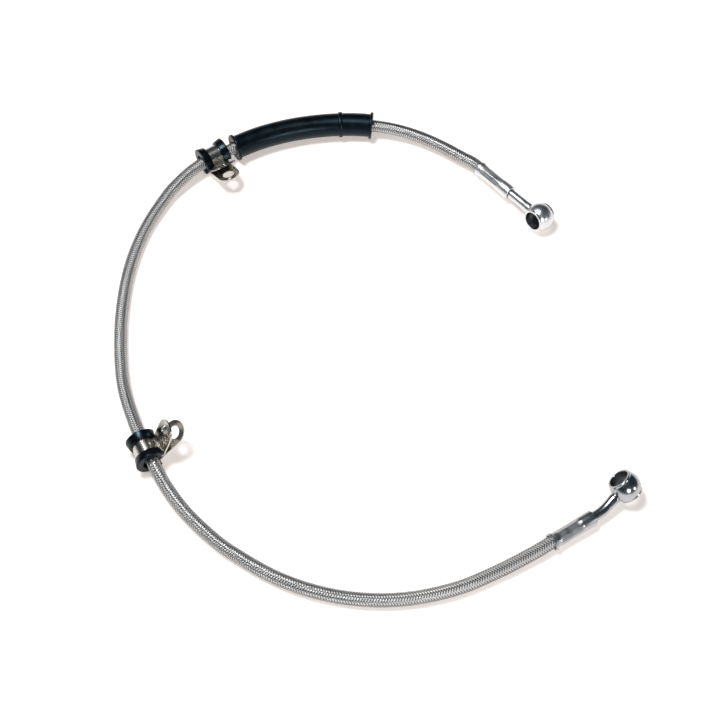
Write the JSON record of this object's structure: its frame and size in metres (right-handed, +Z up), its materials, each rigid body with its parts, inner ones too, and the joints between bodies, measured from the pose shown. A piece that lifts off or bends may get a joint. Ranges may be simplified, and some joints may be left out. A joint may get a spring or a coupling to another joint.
{
  "type": "braided brake hose with banjo fittings",
  "caption": "Flexible brake hose, steel braid under a clear cover, with crimped banjo fittings at both ends, a rubber protective sleeve and rubber lined P-clips.",
  "frame": {"origin": "middle of the line's bounding box on the ground plane", "axes": "+Z upwards with the line lying flat, +Y along the longest extent of the open loop, +X towards the two banjo fittings"},
  "size_m": [0.2646, 0.2976, 0.0238],
  "materials": {
    "liner": "waxy white",
    "braid": "woven fine stainless wire",
    "cover": "clear glossy plastic",
    "fitting": "bright plated",
    "ferrule": "bright plated, crimped",
    "clip_steel": "polished stainless strip",
    "clip_rubber": "black, slightly glossy",
    "sleeve_rubber": "black satin"
  },
  "bodies": {
    "root": {"hose_liner": "liner", "hose_braid": "braid", "hose_cover": "cover", "upper_ferrule": "ferrule", "upper_banjo": "fitting", "lower_ferrule": "ferrule", "lower_banjo": "fitting", "protective_sleeve": "sleeve_rubber", "upper_clip_band": "clip_steel", "upper_clip_cushion": "clip_rubber", "lower_clip_band": "clip_steel", "lower_clip_cushion": "clip_rubber"}
  },
  "joints": []
}
